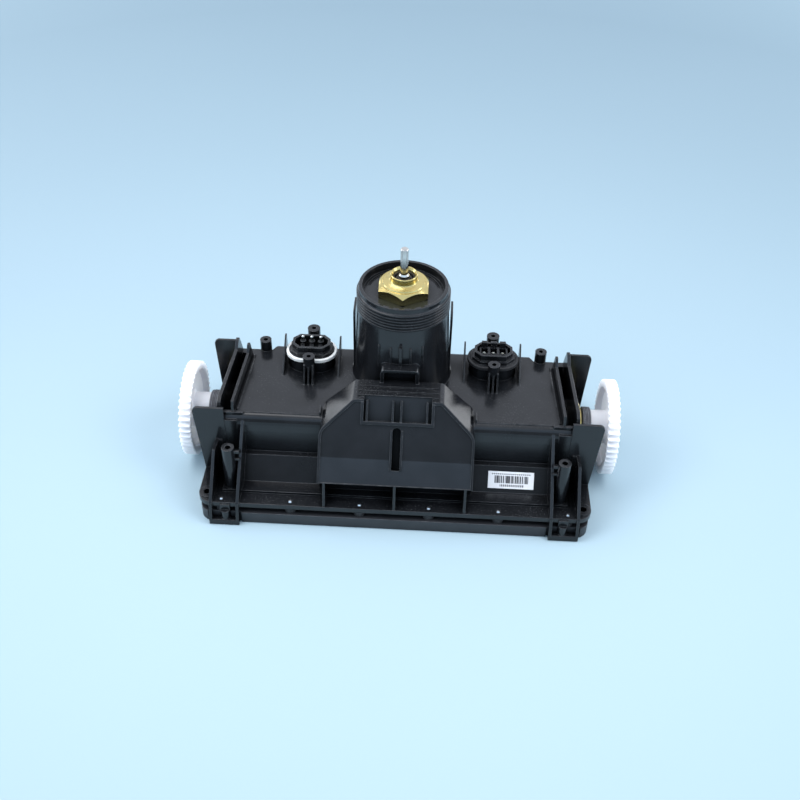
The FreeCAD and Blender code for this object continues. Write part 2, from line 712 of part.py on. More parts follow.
def cover_pans():
    """Shallow pans under the cover that leave a grid of stiffening ribs."""
    pans = []
    columns = 6
    rows = 3
    width = 2 * 126.0 / columns
    depth = 124.0 / rows
    for column in range(columns):
        for row in range(rows):
            x = -126.0 + column * width
            y = MID_Y - 62.0 + row * depth
            pans.append(box((x + 2, x + width - 2), (y + 2, y + depth - 2), (-1, 0.9)))
    return pans


def cover_gasket():
    outer = rounded_plate(141.5, (-98.0, 48.0), 8.0, GASKET_Z)
    inner = rounded_plate(136.0, (-92.5, 42.5), 5.0, GASKET_Z)
    lugs = [rod_z(4.2, x, y, *GASKET_Z) for x, y in screw_places()]
    lugs += [rod_z(4.6, x, y, *GASKET_Z) for x, y in corner_holes()]
    ring = fuse([outer.cut(inner)] + lugs)
    holes = [rod_z(SCREW_R + 0.3, x, y, 5, 20) for x, y in screw_places()]
    holes += [rod_z(CORNER_HOLE_R, x, y, 5, 20) for x, y in corner_holes()]
    return ring.cut(holes)


def screw(x, y, head_z, tip_z, radius=SCREW_R, head_r=SCREW_HEAD_R, up=1):
    """A pan-head screw with a cross slot; up=1 has its head at the bottom."""
    head_height = 0.8 * head_r
    outline = [(0, 0), (0.7 * head_r, 0), (head_r, 0.35 * head_height), (head_r, head_height),
               (radius, head_height), (radius, abs(tip_z - head_z) - 0.8),
               (0.5 * radius, abs(tip_z - head_z)), (0, abs(tip_z - head_z))]
    body = turned([(r, z * up) for r, z in outline])
    slots = [box((-a, a), (-b, b), sorted((-0.5 * up, 0.9 * up)))
             for a, b in ((0.6 * head_r, 0.35), (0.35, 0.6 * head_r))]
    body = body.cut(slots)
    body.translate(Vector(x, y, head_z))
    return body


def cover_screws():
    return group(screw(x, y, 1.16, 18.9) for x, y in screw_places())


# ---------------------------------------------------------------- pump seal

def hexagon_z(across_flats, z_span):
    """A hexagonal bar with corners at front and back."""
    corner = across_flats / math.sqrt(3)
    points = [(corner * math.sin(math.radians(60 * i)), corner * math.cos(math.radians(60 * i)))
              for i in range(6)]
    return along_z(points, z_span)


def collar_flare():
    """The collar's hollow-curved foot and its rounded mouth."""
    low = HEX_TOP_Z + 0.8
    points = []
    steps = 6
    for step in range(steps + 1):
        share = step / steps
        radius = COLLAR_R + (FLARE_R - 1.0 - COLLAR_R) * (1 - share) ** 2.6
        points.append((radius, low + FLARE_HIGH * share))
    return points + [(COLLAR_R - 0.1, COLLAR_TOP_Z - 0.4), (COLLAR_R - 0.5, COLLAR_TOP_Z)]


def pump_seal_carrier():
    corner = HEX_AF / math.sqrt(3)
    turning = turned([(0, RIM_FLOOR_Z), (corner - 1.2, RIM_FLOOR_Z), (corner, RIM_FLOOR_Z + 0.7),
                      (corner, HEX_TOP_Z - 3.0), (HEX_AF / 2 - 0.8, HEX_TOP_Z),
                      (FLARE_R, HEX_TOP_Z), (FLARE_R - 0.5, HEX_TOP_Z + 0.8)]
                     + collar_flare() + [(0, COLLAR_TOP_Z)])
    core = rod_z(FLARE_R + 0.1, 0, 0, RIM_FLOOR_Z, COLLAR_TOP_Z + 1)
    body = turning.common(fuse([hexagon_z(HEX_AF, (RIM_FLOOR_Z, HEX_TOP_Z + 0.001)), core]))
    neck = rod_z(CARRIER_NECK_R, 0, 0, 133.5, RIM_FLOOR_Z)
    groove = tube(CARRIER_NECK_R + 1, CARRIER_NECK_R - 1.8, (0, 0, 138.4), (0, 0, 140.4))
    body = fuse([body, neck]).cut(groove)
    mouth = Part.makeCone(CARRIER_BORE, CARRIER_BORE + 1.2, 1.6, Vector(0, 0, COLLAR_TOP_Z - 1.6))
    bore = rod_z(CARRIER_BORE, 0, 0, 136.0, COLLAR_TOP_Z + 1)
    shaft_hole = rod_z(PUMP_JOURNAL_R + 1.0, 0, 0, 130.0, 137.0)
    return body.cut([mouth, bore, shaft_hole])


def pump_o_ring():
    """The O-ring in the carrier's groove, drawn squeezed to the groove's width."""
    return tube(CARRIER_NECK_R, CARRIER_NECK_R - 1.8, (0, 0, 138.5), (0, 0, 140.3))


def pump_lip_seal():
    """A spring-loaded lip seal: the rubber body and the metal spring around its lip."""
    inner = PUMP_JOURNAL_R + LIP_GAP
    rubber = turned([(inner, 146.0), (CARRIER_BORE, 146.0), (CARRIER_BORE, 153.4),
                     (CARRIER_BORE - 0.9, 153.4), (CARRIER_BORE - 1.3, 149.0),
                     (inner + 1.7, 149.0), (inner + 0.9, 151.0), (inner + 0.7, 153.2),
                     (inner, 153.2)])
    spring = Part.makeTorus(inner + 1.5, 0.55, Vector(0, 0, 151.9))
    return group([rubber, spring.cut(rubber)])


# ---------------------------------------------------------------- motors

class Motor:
    """A brushed motor along +Z from its closed end at zero, with its parts by name."""

    def __init__(self, radius, length, wall, shaft_r, shaft_end):
        self.radius = radius
        self.length = length
        self.wall = wall
        self.shaft_r = shaft_r
        self.shaft_end = shaft_end
        self.core_r = 0.74 * radius
        self.core = (0.24 * length, 0.72 * length)
        self.hub_r = 0.24 * radius
        self.brush = (0.82 * length, 0.88 * length)
        self.bearing_r = max(0.26 * radius, shaft_r + 2.5)
        self.cap = (0.92 * length, length)

    def can(self):
        inner = self.radius - self.wall
        can = tube(self.radius, inner, (0, 0, self.wall), (0, 0, self.length))
        back = rod_z(self.radius, 0, 0, 0, self.wall)
        return fuse([can, back])

    def magnets(self):
        inner = self.radius - self.wall
        low, high = self.core[0] - 2.0, self.core[1] + 2.0
        ring = tube(inner, self.core_r + 0.8, (0, 0, low), (0, 0, high))
        gap = box((-0.35 * self.radius, 0.35 * self.radius), (-50, 50), (low - 1, high + 1))
        return list(ring.cut(gap).Solids)

    def end_cap(self):
        return tube(self.radius - self.wall, self.bearing_r, (0, 0, self.cap[0]), (0, 0, self.cap[1]))

    def bearings(self):
        inner = self.shaft_r + RUNNING_GAP
        low = tube(self.bearing_r, inner, (0, 0, self.wall), (0, 0, self.wall + 5.0))
        high = tube(self.bearing_r, inner, (0, 0, self.cap[0]), (0, 0, self.cap[1]))
        return [low, high]

    def brushes(self):
        low, high = self.brush
        half = 0.09 * self.radius + 1.0
        blocks = []
        for side in (-1, 1):
            span = sorted((side * (self.hub_r + 0.06), side * (self.hub_r + 0.3 * self.radius)))
            block = box((-half, half), span, (low, high))
            hub = rod_z(self.hub_r + 0.06, 0, 0, low - 1, high + 1)
            blocks.append(block.cut(hub))
        return blocks

    def shaft(self):
        shaft = rod_z(self.shaft_r, 0, 0, self.wall + 0.2, self.shaft_end)
        tip = [edge for edge in shaft.Edges if edge.CenterOfMass.z > self.shaft_end - 0.1]
        return shaft.makeChamfer(0.2 * self.shaft_r, tip)

    def slot_shapes(self, low, high, inner, outer, width):
        slots = []
        for index in range(5):
            slot = box((inner, outer), (-width / 2, width / 2), (low, high))
            slot.rotate(Vector(0, 0, 0), Vector(0, 0, 1), 72 * index + 36)
            slots.append(slot)
        return slots

    def armature_core(self):
        low, high = self.core
        core = tube(self.core_r, self.shaft_r, (0, 0, low), (0, 0, high))
        wide = self.slot_shapes(low - 1, high + 1, 0.42 * self.core_r, 0.88 * self.core_r,
                                0.42 * self.core_r)
        mouth = self.slot_shapes(low - 1, high + 1, 0.8 * self.core_r, 1.1 * self.core_r,
                                 0.14 * self.core_r)
        return core.cut(wide + mouth)

    def windings(self):
        low, high = self.core
        deep = 0.07 * self.length
        ends = []
        for start in (low - deep, high):
            ring = tube(0.88 * self.core_r, 0.42 * self.core_r, (0, 0, start), (0, 0, start + deep))
            ring = ring.makeFillet(0.3 * deep, ring.Edges)
            ends.append(ring)
        slots = self.slot_shapes(low - 0.4 * deep, high + 0.4 * deep, 0.44 * self.core_r,
                                 0.86 * self.core_r, 0.38 * self.core_r)
        return fuse(ends + slots)

    def commutator(self):
        low = self.brush[0] - 1.0
        ring = tube(self.hub_r, self.shaft_r, (0, 0, low), (0, 0, self.brush[1] + 1.0))
        cuts = self.slot_shapes(low - 1, self.brush[1] + 2, self.hub_r - 0.6, self.hub_r + 1, 0.5)
        return ring.cut(cuts)


pump_motor = Motor(radius=27.0, length=100.0, wall=1.8, shaft_r=PUMP_JOURNAL_R,
                   shaft_end=SHOULDER_Z - 1.2 - PUMP_MOTOR_Z)
drive_motor = Motor(radius=21.0, length=GEARBOX_X[0] - DRIVE_MOTOR_X, wall=1.5, shaft_r=2.0,
                    shaft_end=PINION_X[1] - DRIVE_MOTOR_X)


def raise_pump(shape):
    shape = shape.copy()
    shape.translate(Vector(0, 0, PUMP_MOTOR_Z))
    return shape


def pump_shaft():
    """The stepped shaft: journal, shoulder cone and bare round end."""
    shoulder = SHOULDER_Z - 1.2
    journal = rod_z(PUMP_JOURNAL_R, 0, 0, PUMP_MOTOR_Z + pump_motor.wall + 0.2, shoulder)
    cone = Part.makeCone(PUMP_JOURNAL_R, PUMP_SHAFT_R, 1.2, Vector(0, 0, shoulder))
    end = rod_z(PUMP_SHAFT_R, 0, 0, SHOULDER_Z, PUMP_SHAFT_TOP)
    tip = [edge for edge in end.Edges if edge.CenterOfMass.z > PUMP_SHAFT_TOP - 0.1]
    return fuse([journal, cone, end.makeChamfer(0.6, tip)])


def lay_drive(shape):
    """Turns a motor part from +Z onto the right-hand drive axis."""
    shape = shape.copy()
    shape.rotate(Vector(0, 0, 0), Vector(0, 1, 0), 90)
    shape.translate(Vector(DRIVE_MOTOR_X, AXIS_Y, AXIS_Z))
    return shape


# ---------------------------------------------------------------- gears

def involute_point(base, angle):
    reach = base * math.sqrt(1 + angle ** 2)
    turn = angle - math.atan(angle)
    return reach, turn


def gear_outline(teeth, module, pressure, backlash, addendum=1.0):
    """Points of one gear in polar form, with a tooth centred on angle zero."""
    pitch = module * teeth / 2
    base = pitch * math.cos(pressure)
    outer = pitch + addendum * module
    root = pitch - 1.25 * module
    at_pitch = math.tan(pressure)
    half_tooth = math.pi / (2 * teeth) - backlash / (2 * pitch)
    half_base = half_tooth + (at_pitch - math.atan(at_pitch))
    flank = []
    steps = 5
    last = math.sqrt((outer / base) ** 2 - 1)
    first = math.sqrt(max((root / base) ** 2 - 1, 0.0))
    for step in range(steps + 1):
        radius, turn = involute_point(base, first + (last - first) * step / steps)
        flank.append((radius, half_base - turn))
    if root < base:
        flank.insert(0, (root, half_base))
    points = []
    for tooth in range(teeth):
        centre = 2 * math.pi * tooth / teeth
        points += [(radius, centre - angle) for radius, angle in flank]
        points += [(radius, centre + angle) for radius, angle in reversed(flank)]
    return points


def gear_x(teeth, module, x_span, y, z, towards, gap_first=False, pressure=25, backlash=0.1):
    """A spur gear along X. A tooth, or a gap, points towards the angle given from +Y to +Z."""
    turn = math.radians(towards) + (math.pi / teeth if gap_first else 0.0)
    corners = [(x_span[0], y + radius * math.cos(angle + turn), z + radius * math.sin(angle + turn))
               for radius, angle in gear_outline(teeth, module, math.radians(pressure), backlash)]
    return face_of(corners).extrude(Vector(x_span[1] - x_span[0], 0, 0))


def motor_shaft_with_pinion():
    pinion = gear_x(PINION_TEETH, GEAR_MODULE, PINION_X, AXIS_Y, AXIS_Z, DOWN)
    return fuse([lay_drive(drive_motor.shaft()), pinion])


def layshaft_gear():
    large = gear_x(GEAR_TEETH, GEAR_MODULE, STAGE_ONE_X, AXIS_Y, LAY_Z, UP, gap_first=True)
    small = gear_x(PINION_TEETH, GEAR_MODULE, (STAGE_ONE_X[1], STAGE_TWO_X[1] + 0.5),
                   AXIS_Y, LAY_Z, UP)
    bore = rod_x(LAY_PIN_R + RUNNING_GAP, *GEARBOX_X, z=LAY_Z)
    return fuse([large, small]).cut(bore)


def output_gear():
    wheel = gear_x(GEAR_TEETH, GEAR_MODULE, STAGE_TWO_X, AXIS_Y, AXIS_Z, DOWN, gap_first=True)
    hub = rod_x(7.0, STAGE_TWO_X[1], STAGE_TWO_X[1] + 6.0)
    return fuse([wheel, hub]).cut(rod_x(DRIVE_SHAFT_R, *GEARBOX_X))


def output_shaft():
    end_x = WHEEL_X[1] - 1.0
    shaft = rod_x(DRIVE_SHAFT_R, STAGE_TWO_X[0] - 0.6, end_x)
    ends = [edge for edge in shaft.Edges if edge.CenterOfMass.x > end_x - 0.1]
    return shaft.makeChamfer(0.8, ends)


def layshaft_pin():
    return rod_x(LAY_PIN_R, GEARBOX_X[0], GEARBOX_X[1], z=LAY_Z)


def gearbox_case():
    low, high = GEARBOX_X
    cup = rod_x(GEARBOX_R, low + GEARBOX_LID, high)
    cup = cup.cut(rod_x(GEARBOX_INNER_R, low + 1.0, high - 2.5))
    flange_ring = tube(GEARBOX_FLANGE_R, GEARBOX_INNER_R, (low + GEARBOX_LID, AXIS_Y, AXIS_Z),
                       (low + 4.5, AXIS_Y, AXIS_Z))
    case = fuse([cup, flange_ring])
    end = (high - 4.0, high + 1.0)
    holes = [rod_x(DRIVE_SHAFT_R + 0.5, *end), rod_x(LAY_PIN_R, *end, z=LAY_Z)]
    return case.cut(holes)


def gearbox_cover():
    low = GEARBOX_X[0]
    plate = rod_x(GEARBOX_FLANGE_R, low, low + GEARBOX_LID)
    return plate.cut([rod_x(3.0, low - 1, low + 3), rod_x(LAY_PIN_R, low - 1, low + 3, z=LAY_Z)])


# ---------------------------------------------------------------- drive ends

def hexagon_x(across_flats, x_span):
    corner = across_flats / math.sqrt(3)
    points = [(AXIS_Y + corner * math.cos(math.radians(60 * i)),
               AXIS_Z + corner * math.sin(math.radians(60 * i))) for i in range(6)]
    return along_x(points, x_span)


def drive_carrier():
    """The brass seal carrier screwed into the end wall."""
    corner = HEX_AF / math.sqrt(3)
    low, high = DRIVE_HEAD_X
    hexagon = hexagon_x(HEX_AF, DRIVE_HEAD_X)
    turning = turned_x([(low, 0), (low, corner - 1.0), (low + 0.8, corner), (high - 2.0, corner),
                        (high, HEX_AF / 2 - 0.5), (high, 0)])
    head = hexagon.common(turning)
    collar = rod_x(14.5, high, high + 1.2)
    neck = rod_x(CARRIER_NECK_R, DRIVE_NECK_X, low)
    body = fuse([head, collar, neck])
    return body.cut([rod_x(CARRIER_BORE, DRIVE_NECK_X, high + 2.0)])


def drive_bush():
    return tube(CARRIER_BORE, DRIVE_SHAFT_R + RUNNING_GAP, (DRIVE_NECK_X + 2.0, AXIS_Y, AXIS_Z),
                (DRIVE_HEAD_X[0], AXIS_Y, AXIS_Z))


def drive_lip_seal():
    inner = DRIVE_SHAFT_R + LIP_GAP
    low, high = DRIVE_LIP_X
    return turned_x([(low, inner), (low, CARRIER_BORE), (high, CARRIER_BORE),
                     (high, CARRIER_BORE - 1.0), (low + 1.4, CARRIER_BORE - 1.6),
                     (low + 1.4, inner + 1.6), (high - 1.0, inner + 0.8), (high - 1.0, inner)])


def drive_sleeve():
    """The dark threaded hub sleeve between the carrier and the wheel."""
    low, high = SLEEVE_X
    outline = [(low, 0), (low, SLEEVE_R - 1.6), (low + 0.6, SLEEVE_R - 0.8)]
    x = low + 0.6
    pitch = 1.15
    while x + pitch < high - 0.9:
        outline += [(x + 0.4, SLEEVE_R), (x + 0.7, SLEEVE_R), (x + pitch, SLEEVE_R - 0.7)]
        x += pitch
    outline += [(high - 0.6, SLEEVE_R), (high, SLEEVE_R - 0.6), (high, 0)]
    return turned_x(outline).cut(rod_x(DRIVE_SHAFT_R, low - 1, high + 1))


def drive_wheel():
    """The white toothed wheel: toothed rim, web dished on both faces and a long inner hub."""
    low, high = WHEEL_X
    pitch_r = WHEEL_MODULE * WHEEL_TEETH / 2
    wheel = gear_x(WHEEL_TEETH, WHEEL_MODULE, WHEEL_X, AXIS_Y, AXIS_Z, DOWN, pressure=20,
                   backlash=0.25)
    rim_r = pitch_r - 4.6
    inner_dish = turned_x([(low - 1, 0), (low - 1, rim_r + 0.3), (low + 4.2, rim_r - 1.0),
                           (low + 4.8, WHEEL_HUB_R + 4.0), (low + 4.4, 0)])
    outer_dish = turned_x([(high + 1, 11.0), (high + 1, rim_r + 0.3), (high - 1.8, rim_r - 0.6),
                           (high - 2.2, 12.0), (high - 1.6, 11.0)])
    hub = turned_x([(SLEEVE_X[1], 0), (SLEEVE_X[1], WHEEL_HUB_R), (low + 3.0, WHEEL_HUB_R + 0.3),
                    (low + 4.6, WHEEL_HUB_R + 2.0), (low + 5.5, WHEEL_HUB_R + 2.0), (low + 5.5, 0)])
    wheel = fuse([wheel.cut([inner_dish, outer_dish]), hub])
    bore = rod_x(DRIVE_SHAFT_R, SLEEVE_X[1] - 1, high + 1)
    nut_seat = rod_x(8.0, NUT_X[0], high + 1)
    return wheel.cut([bore, nut_seat])


def wheel_nut():
    """The nut that holds the wheel on its shaft."""
    nut = hexagon_x(13.0, NUT_X)
    return nut.cut(rod_x(DRIVE_SHAFT_R, NUT_X[0] - 1, NUT_X[1] + 1))


# ---------------------------------------------------------------- connectors

def octagon(half_x, half_y, cut, z_span):
    plan = [(-half_x + cut, -half_y), (half_x - cut, -half_y), (half_x, -half_y + cut),
            (half_x, half_y - cut), (half_x - cut, half_y), (-half_x + cut, half_y),
            (-half_x, half_y - cut), (-half_x, -half_y + cut)]
    centred = [(CONNECTOR_X + x, CONNECTOR_Y + y) for x, y in plan]
    return along_z(centred, z_span)


def boss_clearance():
    """Room around the two bosses for what lies on the connector's seat."""
    return [rod_z(radius + 0.1, place[0], place[1], SEAT_Z - 4, CONNECTOR_TOP_Z)
            for place, radius in ((FRONT_BOSS, FRONT_BOSS_R), (REAR_BOSS, REAR_BOSS_R))]


def connector_shroud():
    """The stepped shroud that both connectors share, with its stem through the top."""
    stem = rod_z(STEM_R, CONNECTOR_X, CONNECTOR_Y, 64.0, GASKET_TOP_Z)
    base = oval(CONNECTOR_BASE, (GASKET_TOP_Z, GASKET_TOP_Z + 1.0))
    lower = octagon(16.0, 10.6, 6.0, (GASKET_TOP_Z + 0.8, GASKET_TOP_Z + 3.8))
    upper = octagon(14.4, 8.8, 5.0, (GASKET_TOP_Z + 3.8, CONNECTOR_TOP_Z))
    cavity = octagon(12.6, 7.0, 4.4, (CAVITY_FLOOR_Z, CONNECTOR_TOP_Z + 1))
    return fuse([stem, base, lower, upper]).cut([cavity] + boss_clearance())


def connector_with_towers():
    """The plug side: three short towers that carry the pins."""
    low = CAVITY_FLOOR_Z - 1.0
    towers = [rod_z(2.4, CONNECTOR_X + dx, PIN_Y, low, 87.2) for dx in PIN_OFFSETS]
    steps = [box((CONNECTOR_X + dx - 1.4, CONNECTOR_X + dx + 1.4), (-3.0, PIN_Y - 2), (low, 85.4))
             for dx in PIN_OFFSETS]
    body = fuse([connector_shroud()] + towers + steps)
    return body.cut([rod_z(1.2, CONNECTOR_X + dx, PIN_Y, 60.0, 90.0) for dx in PIN_OFFSETS])


def connector_pins():
    pins = []
    for dx in PIN_OFFSETS:
        pin = rod_z(1.2, CONNECTOR_X + dx, PIN_Y, 60.0, 90.4)
        tip = Part.makeSphere(1.2, Vector(CONNECTOR_X + dx, PIN_Y, 90.4))
        pins.append(fuse([pin, tip]))
    return group(pins)


def connector_with_sockets():
    """The socket side: a block with three square cavities and a raised back wall."""
    low = CAVITY_FLOOR_Z - 1.0
    block = box((CONNECTOR_X - 10.6, CONNECTOR_X + 10.6), (CONNECTOR_Y - 4.6, CONNECTOR_Y + 5.4),
                (low, 87.6))
    backs = [box((CONNECTOR_X + dx - 2.3, CONNECTOR_X + dx + 2.3),
                 (CONNECTOR_Y + 3.4, CONNECTOR_Y + 6.0), (low, 92.4)) for dx in PIN_OFFSETS]
    body = fuse([connector_shroud(), block] + backs)
    cavities = [box((CONNECTOR_X + dx - 2.4, CONNECTOR_X + dx + 2.4),
                    (CONNECTOR_Y - 3.4, CONNECTOR_Y + 3.2), (CAVITY_FLOOR_Z, 90.0))
                for dx in PIN_OFFSETS]
    stems = [rod_z(0.9, CONNECTOR_X + dx, CONNECTOR_Y, 60.0, CAVITY_FLOOR_Z + 1)
             for dx in PIN_OFFSETS]
    return body.cut(cavities + stems)


def connector_sockets():
    low = CAVITY_FLOOR_Z
    sockets = []
    for dx in PIN_OFFSETS:
        x = CONNECTOR_X + dx
        stem = rod_z(0.9, x, CONNECTOR_Y, 60.0, low)
        barrel = tube(1.7, 1.25, (x, CONNECTOR_Y, low), (x, CONNECTOR_Y, low + 2.4))
        floor = rod_z(1.7, x, CONNECTOR_Y, low, low + 0.6)
        sockets.append(fuse([stem, barrel, floor]))
    return group(sockets)


def connector_gasket():
    """The oval ring between the seat and the connector, with a lip around the base."""
    half_x, half_y = CONNECTOR_BASE
    ring = oval(GASKET, (SEAT_Z, GASKET_TOP_Z + 0.7))
    ring = soften(ring, 0.5, lambda c: c.z > GASKET_TOP_Z + 0.6)
    room = oval((half_x + 0.2, half_y + 0.2), (GASKET_TOP_Z, GASKET_TOP_Z + 1.0))
    hole = rod_z(STEM_R, CONNECTOR_X, CONNECTOR_Y, SEAT_Z - 1, GASKET_TOP_Z + 1)
    return ring.cut([room, hole] + boss_clearance())


# ---------------------------------------------------------------- control board

def board_posts():
    posts_list = []
    for x, y in BOARD_SCREWS:
        posts_list.append(tube(3.5, 1.25, (x, y, COVER_FLOOR - 0.4), (x, y, BOARD_Z[0])))
    return posts_list


def control_board():
    board = box((-BOARD_HALF, BOARD_HALF), BOARD_Y, BOARD_Z)
    return board.cut([rod_z(1.6, x, y, 0, 10) for x, y in BOARD_SCREWS])


def board_components():
    """Capacitors, driver chips, relays and wire headers on the board."""
    top = BOARD_Z[1]
    parts = [rod_z(4.0, x, -50.0, top, top + 8.5) for x in (-50.0, -38.0, 38.0, 50.0)]
    parts += [box((x - 4, x + 4), (-12.0, 2.0), (top, top + 1.6)) for x in (-56.0, -30.0, 30.0, 56.0)]
    parts += [box((x - 8, x + 8), (-36.0, -24.0), (top, top + 7.0)) for x in (-20.0, 20.0)]
    parts += [box((x - 7, x + 7), (12.0, 20.0), (top, top + 6.0)) for x in (-40.0, 0.0, 40.0)]
    parts.append(box((-8, 8), (-16.0, 0.0), (top, top + 1.8)))
    return group(parts)


def board_screws():
    """Short screws that hold the board to the cover's posts, heads up."""
    return group(screw(x, y, BOARD_Z[1] + 1.8, 3.2, 1.2, 2.25, up=-1) for x, y in BOARD_SCREWS)


# ---------------------------------------------------------------- sticker

def sticker():
    """A plain paper sticker on the sloping face, right of the bulge."""
    low = Vector(68.8, -80.2, 22.8)
    slope = Vector(0, SLOPE_TOP_Y - SLOPE_FOOT_Y, TREAD_Z - LEDGE_Z).normalize()
    out = Vector(0, -slope.z, slope.y)
    width = 34.0
    height = 12.8
    corners = [low, low + Vector(width, 0, 0), low + Vector(width, 0, 0) + slope * height,
               low + slope * height]
    face = Part.Face(Part.makePolygon(corners + corners[:1]))
    plate = face.extrude(out * 0.25)
    line = Vector(0, SLOPE_FOOT_Y, LEDGE_Z)
    plate.translate(out * ((line - low).dot(out)))
    return plate


# ---------------------------------------------------------------- write the nodes

def save_housing():
    save("upper_housing", upper_housing())
    save("lower_cover", lower_cover())
    save("cover_gasket", cover_gasket())
    save("cover_screws", cover_screws())
    save("identification_sticker", sticker())


def save_pump():
    save("pump_seal_carrier", pump_seal_carrier())
    save("pump_carrier_o_ring", pump_o_ring())
    save("pump_lip_seal", pump_lip_seal())
    save("pump_motor_can", raise_pump(pump_motor.can()))
    save("pump_motor_magnets", raise_pump(group(pump_motor.magnets())))
    save("pump_motor_end_cap", raise_pump(pump_motor.end_cap()))
    save("pump_motor_bearings", raise_pump(group(pump_motor.bearings())))
    save("pump_motor_brushes", raise_pump(group(pump_motor.brushes())))
    save("pump_shaft", pump_shaft())
    save("pump_armature_core", raise_pump(pump_motor.armature_core()))
    save("pump_armature_windings", raise_pump(pump_motor.windings()))
    save("pump_commutator", raise_pump(pump_motor.commutator()))


def save_drives():
    """Nodes of the two drives: shared groups of fixed parts, and left and right nodes."""
    shared = {
        "drive_lip_seals": [drive_lip_seal()],
        "drive_shaft_bushes": [drive_bush()],
        "gearbox_covers": [gearbox_cover()],
        "layshaft_pins": [layshaft_pin()],
        "drive_motor_magnets": [lay_drive(shape) for shape in drive_motor.magnets()],
        "drive_motor_end_caps": [lay_drive(drive_motor.end_cap())],
        "drive_motor_bushes": [lay_drive(shape) for shape in drive_motor.bearings()],
        "drive_motor_brushes": [lay_drive(shape) for shape in drive_motor.brushes()],
    }
    for name, shapes in shared.items():
        save(name, group(half for shape in shapes for half in both(shape)))
    handed = {
        "drive_carrier": drive_carrier(),
        "gearbox_case": gearbox_case(),
        "drive_motor_can": lay_drive(drive_motor.can()),
        "output_shaft": output_shaft(),
        "output_gear": output_gear(),
        "drive_sleeve": drive_sleeve(),
        "drive_wheel": drive_wheel(),
        "wheel_nut": wheel_nut(),
        "layshaft_gear": layshaft_gear(),
        "drive_motor_shaft": motor_shaft_with_pinion(),
        "drive_armature_core": lay_drive(drive_motor.armature_core()),
        "drive_windings": group([lay_drive(drive_motor.windings()),
                                 lay_drive(drive_motor.commutator())]),
    }
    for name, shape in handed.items():
        save(name + "_right", shape)
        save(name + "_left", mirrored(shape))


def save_electrics():
    save("connector_left", mirrored(connector_with_towers()))
    save("connector_pins_left", mirrored(connector_pins()))
    save("connector_gasket_left", mirrored(connector_gasket()))
    save("connector_right", connector_with_sockets())
    save("connector_sockets_right", connector_sockets())
    save("connector_gasket_right", connector_gasket())
    save("control_board", control_board())
    save("board_components", board_components())
    save("board_screws", board_screws())


save_housing()
save_pump()
save_drives()
save_electrics()
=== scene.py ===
"""Looks of the sealed motor block: a procedural material for each CAD node, a pale stage, soft
lights and a camera. Every visible shape is a CAD node, so no piece is added here.
"""
import json
import math

import bpy
from mathutils import Matrix, Vector


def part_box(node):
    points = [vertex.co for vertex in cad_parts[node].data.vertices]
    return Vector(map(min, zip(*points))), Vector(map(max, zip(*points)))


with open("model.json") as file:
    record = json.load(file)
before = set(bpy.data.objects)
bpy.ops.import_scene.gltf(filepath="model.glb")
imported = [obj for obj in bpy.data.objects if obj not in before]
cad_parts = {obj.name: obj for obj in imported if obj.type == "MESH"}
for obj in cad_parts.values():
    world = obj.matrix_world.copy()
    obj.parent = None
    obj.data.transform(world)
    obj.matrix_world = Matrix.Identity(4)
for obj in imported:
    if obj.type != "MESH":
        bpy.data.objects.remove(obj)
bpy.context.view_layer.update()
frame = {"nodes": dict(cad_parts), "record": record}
nodes = frame["nodes"]

# The drive axis, in Y and Z
SHAFT_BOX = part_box("output_shaft_right")
DRIVE_CENTRE = ((SHAFT_BOX[0].y + SHAFT_BOX[1].y) / 2, (SHAFT_BOX[0].z + SHAFT_BOX[1].z) / 2)

# Camera: metres, degrees and millimetres of lens on a 36 mm frame
CAMERA_PLACE = Vector((0.0196, -0.6223, 0.5637))
CAMERA_PITCH = math.radians(40.26)
CAMERA_YAW = math.radians(-1.87)
CAMERA_ROLL = math.radians(1.44)
CAMERA_LENS = 46.0

# The surround that lights the object: colours from low front (0) to high back (1)
SURROUND_SLANT = (0.0, 0.3, 0.4)
SURROUND = ((0.38, (0.22, 0.27, 0.32)), (0.46, (0.46, 0.58, 0.74)), (0.53, (0.92, 1.30, 1.75)),
            (0.62, (0.84, 1.06, 1.34)), (0.78, (0.78, 0.88, 1.02)), (0.98, (0.92, 0.99, 1.12)))

# What the camera sees beyond the floor, and where the floor turns into it
BACKDROP = (0.55, 0.77, 0.93)
UNLIT = (0.0, 0.0, 0.0)
FLOOR_REACH = 60.0
FLOOR_FADE = (1.0, 2.0)
FLOOR_DROP = 0.0005

# Softboxes that show in glossy surfaces: name, place, size and power
LIGHT_TARGET = (0.0, -0.02, 0.05)
SOFTBOXES = (
    ("top_softbox", (-0.5, 0.35, 1.5), (0.9, 0.9), 6.0),
    ("left_strip", (-1.25, 0.35, 0.55), (0.3, 1.0), 3.0),
    ("right_strip", (1.3, 0.1, 0.7), (0.3, 1.0), 3.0),
    ("right_back_strip", (1.0, 1.2, 0.3), (0.35, 0.5), 1.2),
    ("left_back_strip", (-1.0, 1.2, 0.3), (0.35, 0.5), 1.0),
)

# Fill lights that show in no gloss, one pair for each side: name, place, aim, size and power
FILLS = (
    ("side_fill", (1.1, -0.7, 0.7), LIGHT_TARGET, (0.8, 0.8), 6.0),
    ("wheel_fill", (-0.3, -0.15, 0.6), (0.16, -0.022, 0.04), (0.3, 0.3), 2.2),
)

# Tones used by more than one finish: dark and light black, clean and tarnished brass
BLACK = ((0.0045, 0.005, 0.006), (0.0075, 0.0082, 0.0098))
BRASS = ((0.70, 0.56, 0.23), (0.46, 0.35, 0.13))


# ---------------------------------------------------------------- shader helper

